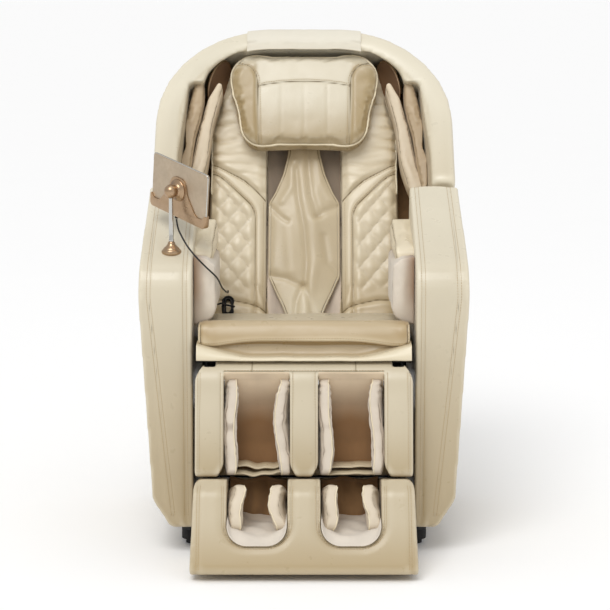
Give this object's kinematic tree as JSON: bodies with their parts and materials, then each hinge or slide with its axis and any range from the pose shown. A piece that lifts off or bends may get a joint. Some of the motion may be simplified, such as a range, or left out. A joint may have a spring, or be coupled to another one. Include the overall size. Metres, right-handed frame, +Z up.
{
  "type": "massage chair",
  "caption": "Reclining massage chair with padded hood, quilted back, head pillow, armrests, calf and foot sections with airbags, and a tablet on an armrest stand.",
  "frame": {"origin": "on the floor, midway across the chair and midway between its front-most and rear-most points", "axes": "+X to the right of the front view, -Y towards the front (the foot section), +Z up"},
  "size_m": [0.756, 1.12, 1.2025],
  "materials": {
    "cream_leather": "soft sheen, fine pebble grain",
    "pale_leather": "soft sheen, fine grain",
    "shadow_leather": "soft sheen, pebble grain, stitched",
    "blush_fabric": "smooth knitted, matt",
    "taupe_fabric": "woven, matt",
    "brown_fabric": "woven, matt",
    "shell_plastic": "fine texture",
    "black_plastic": "fine texture",
    "black_rubber": "matt",
    "frame_steel": "black powder coat",
    "bright_steel": "ground",
    "chrome": "polished",
    "copper": "metallic copper lacquer",
    "champagne": "bead blasted, champagne tint",
    "speaker_cloth": "perforated",
    "roller_plastic": "smooth"
  },
  "bodies": {
    "base": {"arm_casing_left": "cream_leather", "arm_casing_right": "cream_leather", "arm_inner_pads": "pale_leather", "armrest_pad_left": "pale_leather", "armrest_pad_right": "pale_leather", "base_frame": "frame_steel", "cable_hank": "black_rubber", "cable_lower": "black_rubber", "cable_tail": "black_rubber", "hip_airbags": "blush_fabric", "legrest_actuator": "black_plastic", "levelling_feet": "black_rubber", "pivot_posts": "frame_steel", "power_supply": "black_plastic", "rear_cover": "shell_plastic", "recline_actuator": "black_plastic", "seat_cushion": "cream_leather", "seat_frame": "frame_steel", "seat_front_bolster": "shadow_leather", "seat_skirt": "shadow_leather", "side_panel_left": "cream_leather", "side_panel_right": "cream_leather", "stand_base": "copper"},
    "backrest": {"hood_shell": "pale_leather", "back_shell": "shell_plastic", "rear_hatch": "shell_plastic", "back_frame": "frame_steel", "guide_rails": "bright_steel", "back_pad_left": "pale_leather", "back_pad_right": "pale_leather", "head_pad": "cream_leather", "roller_cover": "taupe_fabric", "centre_flap": "shadow_leather", "shoulder_pads_left": "shadow_leather", "shoulder_pads_right": "shadow_leather", "speaker_covers": "speaker_cloth", "pillow_strap": "pale_leather"},
    "legrest": {"calf_shell": "cream_leather", "calf_levers": "bright_steel", "calf_linings": "taupe_fabric", "calf_airbags": "blush_fabric"},
    "footrest": {"foot_shell": "cream_leather", "foot_linings": "brown_fabric", "foot_airbags": "blush_fabric"},
    "foot_roller_unit": {"foot_roller": "roller_plastic"},
    "legrest_ram": {"legrest_rod": "bright_steel"},
    "recline_ram": {"recline_rod": "bright_steel"},
    "carriage": {"massage_carriage": "black_plastic"},
    "kneading_arms": {"massage_arms": "bright_steel"},
    "upper_rollers": {"rollers_upper": "roller_plastic"},
    "lower_rollers": {"rollers_lower": "roller_plastic"},
    "head_pillow": {"pillow": "cream_leather"},
    "tablet_stand": {"stand_stalk": "chrome"},
    "tablet_unit": {"tablet": "champagne", "tablet_cradle": "copper", "cable_upper": "black_rubber"},
    "rocker": {"power_rocker": "black_plastic"},
    "wheel_left": {"transport_wheel_left": "black_rubber"},
    "wheel_right": {"transport_wheel_right": "black_rubber"}
  },
  "joints": [
    {"name": "recline", "type": "hinge", "parent": "base", "child": "backrest", "pos_m": [0, 0.1284, 0.4], "axis": [-1, 0, 0], "range_deg": [0, 45]},
    {"name": "leg_lift", "type": "hinge", "parent": "base", "child": "legrest", "pos_m": [0, -0.3516, 0.405], "axis": [-1, 0, 0], "range_deg": [0, 80]},
    {"name": "foot_extend", "type": "slide", "parent": "legrest", "child": "footrest", "axis": [0, -0.2079, -0.9781], "range_m": [0, 0.1]},
    {"name": "foot_roller_spin", "type": "hinge", "parent": "footrest", "child": "foot_roller_unit", "pos_m": [0, -0.43386, 0.05649], "axis": [1, 0, 0], "continuous": true},
    {"name": "legrest_ram_slide", "type": "slide", "parent": "base", "child": "legrest_ram", "axis": [0, -1, 0], "range_m": [0, 0.1352]},
    {"name": "recline_ram_slide", "type": "slide", "parent": "base", "child": "recline_ram", "axis": [0, -1, 0], "range_m": [0, 0.0842]},
    {"name": "carriage_travel", "type": "slide", "parent": "backrest", "child": "carriage", "axis": [0, 0.4226, 0.9063], "range_m": [-0.18, 0.225]},
    {"name": "kneading_swing", "type": "hinge", "parent": "carriage", "child": "kneading_arms", "pos_m": [0, 0.27391, 0.67419], "axis": [-1, 0, 0], "range_deg": [-4, 4]},
    {"name": "upper_roller_spin", "type": "hinge", "parent": "kneading_arms", "child": "upper_rollers", "pos_m": [0, 0.29141, 0.75431], "axis": [1, 0, 0], "continuous": true},
    {"name": "lower_roller_spin", "type": "hinge", "parent": "kneading_arms", "child": "lower_rollers", "pos_m": [0, 0.22379, 0.6093], "axis": [1, 0, 0], "continuous": true},
    {"name": "pillow_flip", "type": "hinge", "parent": "backrest", "child": "head_pillow", "pos_m": [0, 0.31461, 1.14953], "axis": [-1, 0, 0], "range_deg": [0, 100]},
    {"name": "stand_swivel", "type": "hinge", "parent": "base", "child": "tablet_stand", "pos_m": [-0.306, -0.2616, 0.71], "axis": [0, 0, 1], "range_deg": [-60, 60]},
    {"name": "tablet_tilt", "type": "hinge", "parent": "tablet_stand", "child": "tablet_unit", "pos_m": [-0.306, -0.2616, 0.839], "axis": [0.6428, -0.766, 0], "range_deg": [-8, 25]},
    {"name": "power_rock", "type": "hinge", "parent": "base", "child": "rocker", "pos_m": [0.07, 0.2544, 0.114], "axis": [1, 0, 0], "range_deg": [-7, 7]},
    {"name": "wheel_left_spin", "type": "hinge", "parent": "base", "child": "wheel_left", "pos_m": [-0.219, 0.2844, 0.037], "axis": [1, 0, 0], "continuous": true},
    {"name": "wheel_right_spin", "type": "hinge", "parent": "base", "child": "wheel_right", "pos_m": [0.219, 0.2844, 0.037], "axis": [1, 0, 0], "continuous": true}
  ],
  "couplings": [
    {"joint": "foot_extend", "follows": "leg_lift", "m_per_rad": 0.0716},
    {"joint": "legrest_ram_slide", "follows": "leg_lift", "m_per_rad": 0.0967},
    {"joint": "recline_ram_slide", "follows": "recline", "m_per_rad": 0.10695}
  ]
}
